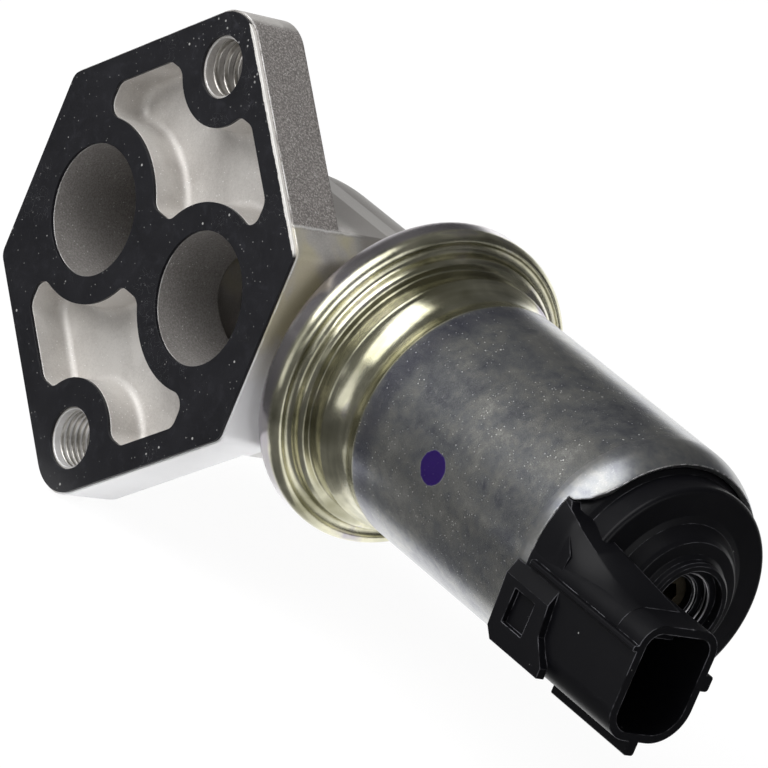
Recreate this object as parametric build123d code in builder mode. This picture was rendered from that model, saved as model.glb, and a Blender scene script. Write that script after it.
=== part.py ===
"""Idle air control valve: a spring-closed solenoid valve on a cast two-port flange.

Lengths are in millimetres. The origin is the middle of the sealing face, between the two ports.
+X runs along the solenoid towards its connector, -Y is the way the sealing face looks, and +Z runs
along the line of the two bolt holes.
"""
from build123d import *
from math import hypot
import os

os.makedirs("parts", exist_ok=True)

# Flange and sealing face
bolt_spacing = 60.0
bolt_hole_radius = 4.25
bolt_mouth_chamfer = 0.35
port_radius = 9.8
port_edge_land = 6.1
inlet_bore_depth = 16.5
inlet_throat_radius = 8.6
coating_thickness = 0.5
coating_margin = 0.3
flange_thickness = 8.7
flange_draft = 1.5
flange_half_width = 30.55
flange_side_height = 29.9
flange_apex_reach = 10.6
flange_apex_radius = 7.0
flange_corner_radius = 2.4

# Lightening pockets in the flange
pocket_depth = 5.8
pocket_edge_land = 4.3
pocket_side_land = 10.4
port_land = 4.1
bolt_land = 4.6
pocket_centre_gap = 6.3
pocket_apex_gap = 4.2
pocket_corner_radius = 2.2
pocket_floor_radius = 1.3

# Barrel and neck of the casting
axis_distance = 26.0
barrel_radius = 16.55
tail_radius = 14.0
tail_past_port = 5.6
tail_end_radius = 2.5
tail_blend_length = 12.0
neck_half_height = 18.0
neck_flat_depth = 19.0
neck_corner_radius = 2.2
neck_tail_half_height = 12.0
neck_tail_corner = 5.0
outlet_chamber_radius = 14.8
outlet_chamber_length = 23.5
outlet_throat_radius = 12.0
inlet_chamber_radius = 10.5
web_thickness = 5.0
web_centre = 1.0

# Disc that carries the solenoid
disc_gap = 2.8
disc_thickness = 2.75
disc_rim_clearance = 1.3
disc_rear_chamfer = 1.1
spigot_can_drop = 0.36
spigot_length = 2.1

# Solenoid can
can_wall = 0.9
can_radius = 19.26
can_straight_length = 41.2
can_shoulder_length = 5.1
can_mouth_turn = 1.46
can_fit = 0.2
rim_width = 5.64
rim_front_width = 1.3
rim_lip_length = 3.4
rim_lip_turn = 1.0
groove_drop = 2.1
ridge_drop = 3.2
ridge_length = 2.7
step_width = 0.84
step_length = 6.5
bead_depth = 0.66
bead_length = 6.4
notch_half_height = 13.2
notch_depth_from_axis = 7.5
notch_centre_height = -4.2
notch_step = 1.35
notch_flare = 1.6

# Moulded cap and its centre boss
cap_base_length = 3.2
cap_side_inset = 1.5
cap_face_height = 4.3
cap_edge_radius = 0.7
boss_radius = 9.9
boss_height = 2.6
collar_radius = 7.1
collar_height = 2.0
well_mouth_radius = 5.95
well_step_radius = 4.9
well_throat_radius = 3.9
well_step_depth = 1.5

# Connector
connector_can_inset = 6.86
connector_drop = 5.55
shroud_width = 14.0
shroud_height = 17.5
shroud_length = 26.6
shroud_corner = 3.6
shroud_back_corner = 5.6
shroud_low_corner = 4.4
shroud_wall = 1.25
shroud_depth = 18.5
shroud_gap = 0.15
key_rib_width = 1.8
key_rib_height = 1.3
key_rib_start = 15.6
low_rib_height = 2.1
low_rib_shift = 0.8
low_rib_start = 9.0
latch_thickness = 1.2
latch_top = -1.75
latch_bottom = -13.25
latch_bevel_height = 2.1
latch_overhang = 1.05
latch_top_overhang = 1.75
latch_top_length = 9.3
latch_low_length = 13.0
latch_corner = 1.5
latch_window_length = 4.8
latch_window_height = 5.2
latch_window_depth = 0.9
terminal_width = 2.8
terminal_thickness = 0.8
terminal_spacing = 6.4
terminal_tip_gap = 6.2
terminal_taper = 0.7
terminal_fit = 0.02

# Magnetic circuit and coil
flux_plate_thickness = 3.2
pole_radius = 7.0
pole_stem_radius = 5.4
pole_length = 18.6
pole_cone_depth = 3.0
pole_cone_mouth = 6.2
pole_cone_floor = 3.0
tube_wall = 0.5
tube_fit = 0.05
bobbin_wall = 1.2
bobbin_can_gap = 1.16
bobbin_flange_thickness = 1.5
bobbin_flange_height = 1.4
winding_gap = 0.1
rear_ring_thickness = 2.5
rear_ring_can_gap = 0.26
terminal_window_margin = 0.5

# Moving valve
travel = 3.2
pole_air_gap = 0.4
armature_air_gap = 0.35
armature_length = 20.0
armature_bleed_radius = 0.8
shaft_radius = 2.0
shaft_end_radius = 1.6
shaft_running_fit = 0.05
shaft_press_fit = 0.02
bush_wall = 1.15
bush_length = 11.0
rear_bush_length = 4.0
poppet_radius = 8.6
poppet_disc_thickness = 2.0
poppet_hub_radius = 3.9
poppet_length = 3.5
seal_thickness = 0.8
seat_gap = 0.1
seat_bore_radius = 7.0
seat_outer_radius = 9.5
seat_lip_height = 0.6
seat_lip_width = 0.9
retaining_ring_thickness = 0.8
retaining_ring_radius = 3.2
retaining_ring_gap = 2.0

# Springs, screw, plug and seals
return_wire_radius = 0.45
return_spring_radius = 4.9
return_turns = 6
balance_wire_radius = 0.25
balance_spring_radius = 1.6
balance_turns = 5
balance_spring_length = 6.2
spring_end_gap = 0.05
screw_radius = 3.35
screw_fit = 0.05
screw_length = 6.0
screw_key_radius = 1.9
screw_key_depth = 3.0
plug_radius = 10.9
plug_length = 4.0
plug_spigot_radius = 3.9
plug_spigot_length = 2.0
plug_recess_radius = 7.0
plug_recess_depth = 1.5
body_seal_radius = 0.8
cap_seal_radius = 0.7
cap_seal_groove_width = 1.6

# Sizes that follow the flange and the can
port_spacing = 2 * (flange_half_width - port_radius - port_edge_land)
rim_radius = can_radius + rim_width
groove_radius = rim_radius - groove_drop
ridge_radius = rim_radius - ridge_drop
step_radius = can_radius + step_width
bead_radius = can_radius - bead_depth
can_inner_radius = can_radius - can_wall
can_mouth_radius = can_radius - can_mouth_turn
disc_radius = rim_radius - disc_rim_clearance
spigot_radius = can_radius - spigot_can_drop
cap_side_radius = can_mouth_radius - cap_side_inset
connector_offset = can_radius - connector_can_inset
bobbin_flange_radius = can_inner_radius - bobbin_can_gap
winding_radius = bobbin_flange_radius - bobbin_flange_height
rear_ring_radius = can_inner_radius - rear_ring_can_gap

# Places along the solenoid axis
disc_rear = flange_half_width + disc_gap
disc_front = disc_rear + disc_thickness
spigot_end = disc_front + spigot_length
tail_end = -(port_spacing / 2 + port_radius + tail_past_port)
plug_inner = tail_end + plug_length
web_start = web_centre - web_thickness / 2
web_end = web_centre + web_thickness / 2
bead_start = disc_front + step_length
can_body_start = bead_start + bead_length
can_body_end = can_body_start + can_straight_length
can_end = can_body_end + can_shoulder_length
plate_end = spigot_end + flux_plate_thickness
pole_end = plate_end + pole_length
cap_inner = can_body_end - cap_base_length
cap_face = can_end + cap_face_height
boss_face = cap_face + boss_height
well_mouth = boss_face + collar_height
well_step = well_mouth - well_step_depth
well_throat = well_step - well_step_depth
shroud_start = can_body_end + notch_step + shroud_gap
shroud_end = shroud_start + shroud_length
terminal_end = shroud_end - terminal_tip_gap
rear_ring_end = cap_inner - 0.1
rear_ring_start = rear_ring_end - rear_ring_thickness
armature_nose = pole_end - pole_cone_depth + travel + pole_air_gap
armature_tail = armature_nose + armature_length
shaft_end = cap_inner + 0.2
screw_start = shaft_end + balance_spring_length
seat_face = web_start - seat_lip_height
poppet_face = seat_face - seat_gap
poppet_back = poppet_face - poppet_length
flange_back = coating_thickness + flange_thickness
connector_y = axis_distance - connector_offset
connector_z = -connector_drop

# Working planes: along the axis for turned profiles, across it for sections
solenoid_axis = Axis((0, axis_distance, 0), (1, 0, 0))
bench = Plane(origin=(0, axis_distance, 0), x_dir=(1, 0, 0), z_dir=(0, 0, 1))


def across(x):
    """A plane across the solenoid axis at x, with +Y to the right and +Z up."""
    return Plane(origin=(x, axis_distance, 0), x_dir=(0, 1, 0), z_dir=(1, 0, 0))


def save(piece, name):
    piece.part.label = name
    export_step(piece.part, f"parts/{name}.step")


def turned_ring(name, start, end, bore, radius):
    """A plain turned ring on the solenoid axis."""
    with BuildPart() as ring:
        with BuildSketch(across(start)):
            Circle(radius)
            Circle(bore, mode=Mode.SUBTRACT)
        extrude(amount=end - start)
    save(ring, name)


def turned_solid(name, outline):
    """A solid of revolution from a closed outline of (x, radius) points."""
    with BuildPart() as solid:
        with BuildSketch(bench):
            with BuildLine():
                Polyline(*outline, close=True)
            make_face()
        revolve(axis=solenoid_axis)
    save(solid, name)


def hexagon_corners(inset=0.0):
    """The flange outline's corners, moved inwards by an inset."""
    side = flange_half_width - inset
    apex = bolt_spacing / 2 + flange_apex_reach
    slope = (apex - flange_side_height / 2) / flange_half_width
    apex_in = apex - inset * hypot(1, slope)
    shoulder = apex_in - slope * side
    return [(0, apex_in), (side, shoulder), (side, -shoulder), (0, -apex_in), (-side, -shoulder), (-side, shoulder)]


def pocket_corners(side):
    """The straight-sided outline of the pocket above (side 1) or below (side -1) the ports."""
    reach = flange_half_width - pocket_side_land
    top = bolt_spacing / 2 - pocket_apex_gap
    apex = bolt_spacing / 2 + flange_apex_reach
    slope = (apex - flange_side_height / 2) / flange_half_width
    edge = apex - pocket_edge_land * hypot(1, slope)
    shoulder = edge - slope * reach
    top_reach = (edge - top) / slope
    return [
        (-reach, side * pocket_centre_gap),
        (reach, side * pocket_centre_gap),
        (reach, side * shoulder),
        (top_reach, side * top),
        (-top_reach, side * top),
        (-reach, side * shoulder),
    ]


# Outline of the flange, and the smaller outline of its coating
with BuildSketch() as flange_outline:
    with BuildLine():
        Polyline(*hexagon_corners(), close=True)
    make_face()
    apex_corners = vertices().sort_by(Axis.Y)[0:1] + vertices().sort_by(Axis.Y)[-1:]
    fillet(apex_corners, flange_apex_radius)
    side_corners = vertices().filter_by(lambda corner: abs(corner.X) > flange_half_width - 0.01)
    fillet(side_corners, flange_corner_radius)
with BuildSketch() as coat_outline:
    with BuildLine():
        Polyline(*hexagon_corners(coating_margin), close=True)
    make_face()
    apex_corners = vertices().sort_by(Axis.Y)[0:1] + vertices().sort_by(Axis.Y)[-1:]
    fillet(apex_corners, flange_apex_radius - coating_margin)
    side_corners = vertices().filter_by(lambda corner: abs(corner.X) > flange_half_width - coating_margin - 0.01)
    fillet(side_corners, flange_corner_radius - coating_margin)

# Outlines of the two pockets, rounded at every corner
with BuildSketch() as pockets:
    for side in (1, -1):
        with BuildLine():
            Polyline(*pocket_corners(side), close=True)
        make_face()
    with Locations((-port_spacing / 2, 0), (port_spacing / 2, 0)):
        Circle(port_radius + port_land, mode=Mode.SUBTRACT)
    with Locations((0, -bolt_spacing / 2), (0, bolt_spacing / 2)):
        Circle(bolt_hole_radius + bolt_land, mode=Mode.SUBTRACT)
    fillet(vertices(), pocket_corner_radius)

# Cast valve body: flange, neck, barrel and disc in one casting
with BuildPart() as body:
    neck_shoulder = hexagon_corners()[1]
    neck_slope = (hexagon_corners()[0][1] - neck_shoulder[1]) / flange_half_width
    neck_reach = (hexagon_corners()[0][1] - neck_half_height) / neck_slope
    with BuildSketch(Plane.XZ.offset(-coating_thickness)):
        with BuildLine():
            Polyline(
                (web_centre, -neck_half_height),
                (neck_reach, -neck_half_height),
                (flange_half_width, -neck_shoulder[1]),
                (flange_half_width, neck_shoulder[1]),
                (neck_reach, neck_half_height),
                (web_centre, neck_half_height),
                close=True,
            )
        make_face()
        fillet(vertices().group_by(Axis.X)[-1], neck_corner_radius)
    extrude(amount=-(axis_distance - coating_thickness))
    with BuildSketch(Plane.YZ.offset(web_centre)):
        with BuildLine():
            Polyline(
                (0, -neck_half_height),
                (neck_flat_depth, -neck_half_height),
                (axis_distance, -barrel_radius),
                (axis_distance, barrel_radius),
                (neck_flat_depth, neck_half_height),
                (0, neck_half_height),
                close=True,
            )
        make_face()
    extrude(amount=disc_front, mode=Mode.INTERSECT)
    with BuildSketch(Plane.XZ.offset(-coating_thickness)):
        with Locations(((tail_end + tail_end_radius + web_centre) / 2, 0)):
            Rectangle(web_centre - tail_end - tail_end_radius, 2 * neck_tail_half_height)
        fillet(vertices().group_by(Axis.X)[0], neck_tail_corner)
    extrude(amount=-(axis_distance - coating_thickness))
    with BuildSketch(Plane.XZ.offset(-coating_thickness)):
        add(flange_outline.sketch)
    extrude(amount=-flange_thickness, taper=flange_draft)
    with BuildSketch(bench):
        with BuildLine():
            Polyline((spigot_end, 0), (tail_end, 0), (tail_end, tail_radius - tail_end_radius))
            ThreePointArc(
                (tail_end, tail_radius - tail_end_radius),
                (tail_end + 0.29 * tail_end_radius, tail_radius - 0.29 * tail_end_radius),
                (tail_end + tail_end_radius, tail_radius),
            )
            Line((tail_end + tail_end_radius, tail_radius), (web_end - tail_blend_length, tail_radius))
            ThreePointArc(
                (web_end - tail_blend_length, tail_radius),
                (web_end - 0.55 * tail_blend_length, tail_radius + 0.72 * (barrel_radius - tail_radius)),
                (web_end, barrel_radius),
            )
            Polyline(
                (web_end, barrel_radius),
                (disc_rear, barrel_radius),
                (disc_rear, disc_radius - disc_rear_chamfer),
                (disc_rear + disc_rear_chamfer, disc_radius),
                (disc_front, disc_radius),
                (disc_front, spigot_radius),
                (spigot_end, spigot_radius),
                (spigot_end, 0),
            )
        make_face()
    revolve(axis=solenoid_axis)
    with BuildSketch(across(web_start)):
        Circle(seat_outer_radius)
    extrude(amount=web_thickness, mode=Mode.SUBTRACT)
    with BuildSketch(across(web_end)):
        Circle(outlet_chamber_radius)
    extrude(amount=outlet_chamber_length, mode=Mode.SUBTRACT)
    with BuildSketch(across(web_end)):
        Circle(outlet_throat_radius)
    extrude(amount=spigot_end - web_end, mode=Mode.SUBTRACT)
    with BuildSketch(across(plug_inner)):
        Circle(inlet_chamber_radius)
    extrude(amount=web_start - plug_inner, mode=Mode.SUBTRACT)
    with BuildSketch(across(tail_end)):
        Circle(plug_radius)
    extrude(amount=plug_length, mode=Mode.SUBTRACT)
    with BuildSketch(Plane.XZ.offset(-coating_thickness)):
        with Locations((port_spacing / 2, 0)):
            Circle(port_radius)
        with Locations((-port_spacing / 2, 0)):
            Circle(inlet_throat_radius)
    extrude(amount=-(axis_distance - coating_thickness), mode=Mode.SUBTRACT)
    with BuildSketch(Plane.XZ.offset(-coating_thickness)):
        with Locations((-port_spacing / 2, 0)):
            Circle(port_radius)
    extrude(amount=-(inlet_bore_depth - coating_thickness), mode=Mode.SUBTRACT)
    with BuildSketch(Plane.XZ.offset(-coating_thickness)):
        add(pockets.sketch)
    extrude(amount=-pocket_depth, mode=Mode.SUBTRACT)
    pocket_floors = faces().filter_by(Axis.Y).filter_by(
        lambda face: abs(face.center().Y - coating_thickness - pocket_depth) < 0.01
    )
    fillet(pocket_floors.edges(), pocket_floor_radius)
    with BuildSketch(Plane.XZ.offset(-coating_thickness)):
        with Locations((0, -bolt_spacing / 2), (0, bolt_spacing / 2)):
            Circle(bolt_hole_radius)
    extrude(amount=-flange_thickness, mode=Mode.SUBTRACT)
save(body, "valve_body")

# Black sealing coat on the lands of the flange
with BuildPart() as gasket:
    with BuildSketch(Plane.XZ):
        add(coat_outline.sketch)
        add(pockets.sketch, mode=Mode.SUBTRACT)
        with Locations((-port_spacing / 2, 0), (port_spacing / 2, 0)):
            Circle(port_radius, mode=Mode.SUBTRACT)
        with Locations((0, -bolt_spacing / 2), (0, bolt_spacing / 2)):
            Circle(bolt_hole_radius + bolt_mouth_chamfer, mode=Mode.SUBTRACT)
    extrude(amount=-coating_thickness)
save(gasket, "flange_gasket")

# Deep-drawn solenoid can with its crimped rim, stepped foot, bead and turned-in mouth
with BuildPart() as can:
    with BuildSketch(bench):
        with BuildLine():
            lip = (disc_front - rim_lip_length, rim_radius - rim_lip_turn)
            crest = (disc_front + rim_front_width, rim_radius - rim_front_width)
            ridge = (disc_front + ridge_length, ridge_radius)
            foot = (ridge[0] + 0.4, ridge_radius - 0.5)
            ThreePointArc(lip, (lip[0] + 0.25, lip[1] + 0.7), (lip[0] + rim_lip_turn, rim_radius))
            Line((lip[0] + rim_lip_turn, rim_radius), (disc_front, rim_radius))
            ThreePointArc(
                (disc_front, rim_radius),
                (disc_front + 0.71 * rim_front_width, rim_radius - 0.29 * rim_front_width),
                crest,
            )
            ThreePointArc(crest, (crest[0] - 0.45, groove_radius), (crest[0] + 0.3, groove_radius - 0.9))
            Polyline((crest[0] + 0.3, groove_radius - 0.9), ridge, foot, (foot[0], step_radius))
            Polyline((foot[0], step_radius), (bead_start - 0.4, step_radius), (bead_start, step_radius - 0.4))
            ThreePointArc(
                (bead_start, step_radius - 0.4),
                (bead_start + 0.42 * bead_length, bead_radius),
                (can_body_start, can_radius),
            )
            Line((can_body_start, can_radius), (can_body_end, can_radius))
            ThreePointArc(
                (can_body_end, can_radius),
                (can_body_end + 0.55 * can_shoulder_length, can_radius - 0.3 * (can_radius - can_mouth_radius)),
                (can_end, can_mouth_radius),
            )
            mouth_in = (can_end - 0.6 * can_wall, can_mouth_radius - 0.8 * can_wall)
            inner = can_inner_radius
            Line((can_end, can_mouth_radius), mouth_in)
            ThreePointArc(
                mouth_in,
                (can_body_end + 0.5 * can_shoulder_length, inner - 0.22 * (inner - mouth_in[1])),
                (can_body_end, inner),
            )
            Line((can_body_end, inner), (can_body_start, inner))
            ThreePointArc(
                (can_body_start, inner),
                (bead_start + 0.42 * bead_length, bead_radius - can_wall),
                (bead_start - 0.4 * can_wall, step_radius - can_wall),
            )
            Polyline(
                (bead_start - 0.4 * can_wall, step_radius - can_wall),
                (foot[0] - can_wall, step_radius - can_wall),
                (foot[0] - can_wall, foot[1] - 0.4),
                (disc_front, foot[1] - 0.4),
                (disc_front, rim_radius - can_wall),
                (lip[0] + rim_lip_turn + 0.35, rim_radius - can_wall),
                (lip[0] + 0.6, lip[1] - 0.65),
                lip,
            )
        make_face()
    revolve(axis=solenoid_axis)
    with BuildSketch(Plane.XZ.offset(-(axis_distance - notch_depth_from_axis))):
        notch_top = notch_centre_height + notch_half_height
        with BuildLine():
            Polyline(
                (shroud_start - shroud_gap, notch_centre_height - notch_half_height),
                (shroud_start - shroud_gap, notch_top),
                (can_end - notch_flare - 1.2, notch_top),
                (can_end - 0.8 * notch_flare, notch_top + 1.0),
                (can_end - 0.3 * notch_flare, notch_top + 2.5),
                (can_end, notch_top + 4.4),
                (can_end + 0.1, notch_top + 4.6),
                (can_end + 0.1, notch_centre_height - notch_half_height),
                close=True,
            )
        make_face()
    extrude(amount=can_radius, mode=Mode.SUBTRACT)
save(can, "solenoid_can")

# Black moulded end cap with its boss, adjusting well and connector
with BuildPart() as cap:
    neck_top = notch_centre_height + notch_half_height - shroud_gap
    neck_bottom = notch_centre_height - notch_half_height + shroud_gap
    shroud_top = connector_z + shroud_height / 2
    shroud_bottom = connector_z - shroud_height / 2
    slope_start = shroud_start + 1.0
    slope_end = cap_face - 1.0
    face_y = connector_y - shroud_width / 2
    with BuildSketch(Plane.XZ.offset(-(axis_distance - notch_depth_from_axis - shroud_gap))):
        with BuildLine():
            Polyline(
                (shroud_start, neck_bottom),
                (slope_start, neck_bottom),
                (slope_end, shroud_bottom),
                (slope_end, shroud_top),
                (slope_start, neck_top),
                (shroud_start, neck_top),
                close=True,
            )
        make_face()
    extrude(amount=can_radius)
    with BuildSketch(across(shroud_start)):
        Circle(can_radius - 0.1)
    extrude(amount=slope_end - shroud_start, mode=Mode.INTERSECT)
    with BuildSketch(bench):
        with BuildLine():
            base = can_inner_radius - can_fit
            ledge = can_mouth_radius - 0.8 * can_wall - can_fit
            edge = (cap_face - cap_edge_radius, cap_side_radius)
            Polyline((cap_inner, 0), (cap_inner, base), (can_body_end, base))
            ThreePointArc(
                (can_body_end, base),
                (can_body_end + 0.5 * can_shoulder_length, base - 0.27 * (base - ledge)),
                (can_end - 0.6, ledge),
            )
            Polyline((can_end - 0.6, ledge), (can_end, cap_side_radius), edge)
            ThreePointArc(
                edge,
                (cap_face - 0.29 * cap_edge_radius, cap_side_radius - 0.29 * cap_edge_radius),
                (cap_face, cap_side_radius - cap_edge_radius),
            )
            Polyline(
                (cap_face, cap_side_radius - cap_edge_radius),
                (cap_face, boss_radius + 2.2),
                (cap_face + 0.3, boss_radius + 1.2),
                (boss_face - 0.5, boss_radius),
                (boss_face, boss_radius - 0.5),
                (boss_face + 0.2, collar_radius + 0.6),
                (boss_face + 0.7, collar_radius),
                (well_mouth - 0.4, collar_radius),
                (well_mouth, collar_radius - 0.4),
                (well_mouth, 0),
                (cap_inner, 0),
            )
        make_face()
    revolve(axis=solenoid_axis)
    with BuildSketch(across(shroud_start)):
        with Locations((-connector_offset, connector_z)):
            Rectangle(shroud_width, shroud_height)
        fillet(vertices().group_by(Axis.Y)[-1], shroud_corner)
        fillet(vertices().group_by(Axis.Y)[0].sort_by(Axis.X)[-1:], shroud_back_corner)
        fillet(vertices().group_by(Axis.Y)[0].sort_by(Axis.X)[0:1], shroud_low_corner)
    extrude(amount=shroud_length)
    with BuildSketch(across(shroud_start + low_rib_start)):
        with Locations((-connector_offset - low_rib_shift, shroud_bottom - low_rib_height / 2 + 0.2)):
            Rectangle(key_rib_width, low_rib_height + 0.4)
        fillet(vertices().group_by(Axis.Y)[0], 0.4)
    extrude(amount=shroud_length - low_rib_start)
    with BuildSketch(across(shroud_start + key_rib_start)):
        with Locations((-connector_offset + shroud_width / 2 + key_rib_height / 2 - 0.1, connector_z + 1.1)):
            Rectangle(key_rib_height + 0.2, 1.35 * key_rib_width)
        fillet(vertices().group_by(Axis.X)[-1], 0.5)
    extrude(amount=shroud_length - key_rib_start)
    with BuildSketch(across(shroud_start + 1.5)):
        with Locations((-connector_offset - shroud_width / 2 - 0.25, shroud_top - shroud_corner - 0.3)):
            Rectangle(1.1, 0.9)
        fillet(vertices().group_by(Axis.X)[0], 0.3)
    extrude(amount=shroud_length - 1.5)
    latch_start = shroud_start - latch_overhang
    with BuildSketch(Plane.XZ.offset(-(face_y + 0.2))):
        with BuildLine():
            Polyline(
                (shroud_start - latch_top_overhang, latch_top),
                (latch_start + latch_top_length, latch_top),
                (latch_start + latch_top_length + 0.9, latch_top - 6.6),
                (latch_start + latch_low_length, latch_bottom + latch_corner),
                (latch_start + latch_low_length, latch_bottom),
                (latch_start + latch_corner, latch_bottom),
                (latch_start, latch_bottom + latch_corner),
                close=True,
            )
        make_face()
    extrude(amount=latch_thickness + 0.2)
    with BuildSketch(across(shroud_end)):
        with Locations((-connector_offset, connector_z)):
            Rectangle(shroud_width - 2 * shroud_wall, shroud_height - 2 * shroud_wall)
        fillet(vertices().group_by(Axis.Y)[-1], shroud_corner - shroud_wall)
        fillet(vertices().group_by(Axis.Y)[0].sort_by(Axis.X)[-1:], shroud_back_corner - shroud_wall)
        fillet(vertices().group_by(Axis.Y)[0].sort_by(Axis.X)[0:1], shroud_low_corner - shroud_wall)
    extrude(amount=-shroud_depth, mode=Mode.SUBTRACT)
    with BuildSketch(Plane.XZ.offset(-(face_y - latch_thickness))):
        with Locations((latch_start + 2.3 + latch_window_length / 2, connector_z - 1.95)):
            Rectangle(latch_window_length, latch_window_height)
    extrude(amount=-latch_window_depth, mode=Mode.SUBTRACT)
    with BuildSketch(across(latch_start - 2)):
        with BuildLine():
            front = face_y - latch_thickness - axis_distance
            Polyline(
                (front - 0.1, latch_top - latch_bevel_height),
                (front, latch_top - latch_bevel_height),
                (front + latch_thickness, latch_top),
                (front + latch_thickness, latch_top + 0.1),
                (front - 0.1, latch_top + 0.1),
                close=True,
            )
        make_face()
    extrude(amount=latch_top_length + 3, mode=Mode.SUBTRACT)
    with BuildSketch(across(well_mouth)):
        Circle(well_mouth_radius)
    extrude(amount=well_step - well_mouth, mode=Mode.SUBTRACT)
    with BuildSketch(across(well_step)):
        Circle(well_step_radius)
    extrude(amount=well_throat - well_step, mode=Mode.SUBTRACT)
    with BuildSketch(across(well_throat)):
        Circle(well_throat_radius)
    extrude(amount=-0.6, mode=Mode.SUBTRACT)
    with BuildSketch(across(cap_inner)):
        Circle(screw_radius + screw_fit)
    extrude(amount=well_throat - cap_inner, mode=Mode.SUBTRACT)
    with BuildSketch(across(cap_inner)):
        with Locations(
            (-connector_offset, connector_z - terminal_spacing / 2),
            (-connector_offset, connector_z + terminal_spacing / 2),
        ):
            Rectangle(terminal_thickness + 2 * terminal_fit, terminal_width + 2 * terminal_fit)
    extrude(amount=shroud_end - cap_inner, mode=Mode.SUBTRACT)
    groove_mid = cap_inner + cap_base_length / 2
    with BuildSketch(across(groove_mid - cap_seal_groove_width / 2)):
        Circle(can_radius)
        Circle(can_inner_radius - 2 * cap_seal_radius - 0.1, mode=Mode.SUBTRACT)
    extrude(amount=cap_seal_groove_width, mode=Mode.SUBTRACT)
save(cap, "end_cap")

# Two flat blades of the connector
blade_start = rear_ring_start - bobbin_flange_thickness + 0.3
for name, side in (("upper_terminal", 1), ("lower_terminal", -1)):
    with BuildPart() as blade:
        with BuildSketch(Plane.XZ.offset(-(connector_y + terminal_thickness / 2))):
            mid = connector_z + side * terminal_spacing / 2
            half = terminal_width / 2
            with BuildLine():
                Polyline(
                    (blade_start, mid - half),
                    (terminal_end - 2 * terminal_taper, mid - half),
                    (terminal_end, mid - half + terminal_taper),
                    (terminal_end, mid + half - terminal_taper),
                    (terminal_end - 2 * terminal_taper, mid + half),
                    (blade_start, mid + half),
                    close=True,
                )
            make_face()
        extrude(amount=terminal_thickness)
    save(blade, name)

# Front flux plate, fixed pole and guide tube
turned_ring("flux_plate", spigot_end, plate_end, pole_stem_radius, spigot_radius)
bush_radius = shaft_radius + shaft_running_fit + bush_wall
turned_solid(
    "pole_piece",
    [
        (spigot_end, bush_radius),
        (spigot_end, pole_stem_radius),
        (plate_end, pole_stem_radius),
        (plate_end, pole_radius),
        (pole_end, pole_radius),
        (pole_end, pole_cone_mouth),
        (pole_end - pole_cone_depth, pole_cone_floor),
        (pole_end - pole_cone_depth, shaft_radius + 0.4),
        (spigot_end + bush_length, shaft_radius + 0.4),
        (spigot_end + bush_length, bush_radius),
    ],
)
turned_ring("front_bush", spigot_end, spigot_end + bush_length, shaft_radius + shaft_running_fit, bush_radius)
tube_bore = pole_radius + tube_fit
tube_radius = tube_bore + tube_wall
turned_ring("guide_tube", plate_end, rear_ring_end, tube_bore, tube_radius)
turned_ring(
    "rear_bush",
    rear_ring_end - rear_bush_length,
    rear_ring_end,
    shaft_radius + shaft_running_fit,
    tube_bore - tube_fit,
)

# Coil: moulded bobbin with a flange at each end, and the winding between them
bobbin_bore = tube_radius + tube_fit
bobbin_radius = bobbin_bore + bobbin_wall
coil_start = can_body_start - bead_length + 1.6
coil_end = rear_ring_start
with BuildPart() as bobbin:
    with BuildSketch(bench):
        with BuildLine():
            Polyline(
                (coil_start, bobbin_bore),
                (coil_start, bobbin_flange_radius - 0.6),
                (coil_start + bobbin_flange_thickness, bobbin_flange_radius - 0.6),
                (coil_start + bobbin_flange_thickness, bobbin_radius),
                (coil_end - bobbin_flange_thickness, bobbin_radius),
                (coil_end - bobbin_flange_thickness, bobbin_flange_radius),
                (coil_end, bobbin_flange_radius),
                (coil_end, bobbin_bore),
                close=True,
            )
        make_face()
    revolve(axis=solenoid_axis)
    with BuildSketch(across(coil_end)):
        with Locations(
            (-connector_offset, connector_z - terminal_spacing / 2),
            (-connector_offset, connector_z + terminal_spacing / 2),
        ):
            Rectangle(terminal_thickness + 2 * terminal_fit, terminal_width + 2 * terminal_fit)
    extrude(amount=-(coil_end - blade_start), mode=Mode.SUBTRACT)
save(bobbin, "coil_bobbin")
turned_ring(
    "coil_winding",
    coil_start + bobbin_flange_thickness + winding_gap,
    coil_end - bobbin_flange_thickness - winding_gap,
    bobbin_radius + winding_gap,
    winding_radius,
)
with BuildPart() as rear_ring:
    with BuildSketch(across(rear_ring_start)):
        Circle(rear_ring_radius)
        Circle(bobbin_bore, mode=Mode.SUBTRACT)
        with Locations((-connector_offset, connector_z)):
            Rectangle(
                terminal_thickness + 2 * terminal_window_margin,
                terminal_spacing + terminal_width + 2 * terminal_window_margin,
                mode=Mode.SUBTRACT,
            )
    extrude(amount=rear_ring_thickness)
save(rear_ring, "rear_flux_ring")

# Armature with its cone and two bleed holes
with BuildPart() as armature:
    armature_radius = tube_bore - armature_air_gap
    armature_bore = shaft_radius + shaft_press_fit
    with BuildSketch(bench):
        with BuildLine():
            Polyline(
                (armature_nose, armature_bore),
                (armature_nose, pole_cone_floor - 0.1),
                (armature_nose + pole_cone_depth, pole_cone_mouth - 0.1),
                (armature_nose + pole_cone_depth, armature_radius),
                (armature_tail, armature_radius),
                (armature_tail, armature_bore),
                close=True,
            )
        make_face()
    revolve(axis=solenoid_axis)
    with BuildSketch(across(armature_tail)):
        with PolarLocations((armature_bore + armature_radius) / 2, 2):
            Circle(armature_bleed_radius)
    extrude(amount=-armature_length, mode=Mode.SUBTRACT)
save(armature, "armature")

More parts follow.
